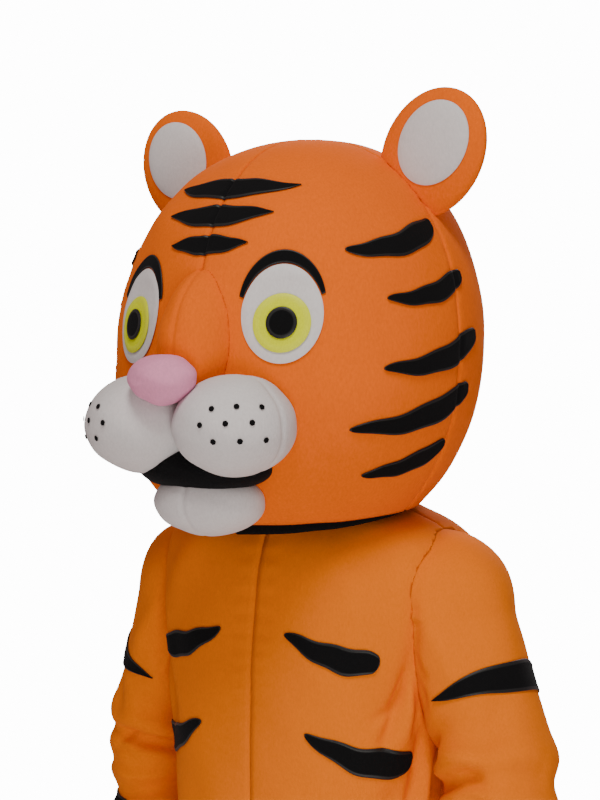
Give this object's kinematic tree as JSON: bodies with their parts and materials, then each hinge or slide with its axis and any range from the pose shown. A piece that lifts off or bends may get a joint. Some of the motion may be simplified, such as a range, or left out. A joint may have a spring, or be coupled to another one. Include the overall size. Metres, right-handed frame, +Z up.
{
  "type": "tiger mascot costume, head and one-piece suit",
  "caption": "Hollow worn animal costume: an oversized soft head and a one-piece fleece suit with sleeves and legs, in a standing pose.",
  "frame": {"origin": "centre of the suit's neck on the wearer's shoulder line", "axes": "+Z up, the costume faces -Y, +X is its own left"},
  "size_m": [0.6098, 0.4646, 1.8413],
  "materials": {
    "orange_fleece": "short pile fleece",
    "white_fleece": "short pile fleece",
    "black_fleece": "short pile fleece",
    "pink_fleece": "short pile fleece",
    "iris_felt": "felt"
  },
  "bodies": {
    "root": {"Head_Face_Left": "orange_fleece", "Head_Face_Right": "orange_fleece", "Head_Back": "orange_fleece", "Neck_Lining": "black_fleece", "Muzzle_Pad_Left": "white_fleece", "Muzzle_Pad_Right": "white_fleece", "Nose_Bridge": "orange_fleece", "Nose": "pink_fleece", "Mouth_Lining": "black_fleece", "Chin": "white_fleece", "Ear_Left": "orange_fleece", "Ear_Right": "orange_fleece", "Ear_Inside_Left": "white_fleece", "Ear_Inside_Right": "white_fleece", "Ear_Patch_Left": "black_fleece", "Ear_Patch_Right": "black_fleece", "Eye_White_Left": "white_fleece", "Eye_White_Right": "white_fleece", "Iris_Left": "iris_felt", "Iris_Right": "iris_felt", "Pupil_Left": "black_fleece", "Pupil_Right": "black_fleece", "Eye_Lid_Left": "black_fleece", "Eye_Lid_Right": "black_fleece", "Forehead_Bar_Lower": "black_fleece", "Forehead_Bar_Middle": "black_fleece", "Forehead_Bar_Upper": "black_fleece", "Nape_Bar_Upper": "black_fleece", "Nape_Bar_Lower": "black_fleece", "Temple_Stripe_Upper_Left": "black_fleece", "Temple_Stripe_Upper_Right": "black_fleece", "Temple_Stripe_Lower_Left": "black_fleece", "Temple_Stripe_Lower_Right": "black_fleece", "Cheek_Stripe_Upper_Left": "black_fleece", "Cheek_Stripe_Upper_Right": "black_fleece", "Cheek_Stripe_Middle_Left": "black_fleece", "Cheek_Stripe_Middle_Right": "black_fleece", "Cheek_Stripe_Lower_Left": "black_fleece", "Cheek_Stripe_Lower_Right": "black_fleece", "Suit_Front_Left": "orange_fleece", "Suit_Front_Right": "orange_fleece", "Suit_Back": "orange_fleece", "Sleeve_Left": "orange_fleece", "Sleeve_Right": "orange_fleece", "Leg_Left": "orange_fleece", "Leg_Right": "orange_fleece", "Chest_Stripe_Upper_Left": "black_fleece", "Chest_Stripe_Upper_Right": "black_fleece", "Chest_Stripe_Middle_Left": "black_fleece", "Chest_Stripe_Middle_Right": "black_fleece", "Chest_Stripe_Lower_Left": "black_fleece", "Chest_Stripe_Lower_Right": "black_fleece", "Sleeve_Band_Upper_Left": "black_fleece", "Sleeve_Band_Upper_Right": "black_fleece", "Sleeve_Band_Middle_Left": "black_fleece", "Sleeve_Band_Middle_Right": "black_fleece", "Sleeve_Band_Lower_Left": "black_fleece", "Sleeve_Band_Lower_Right": "black_fleece"}
  },
  "joints": []
}
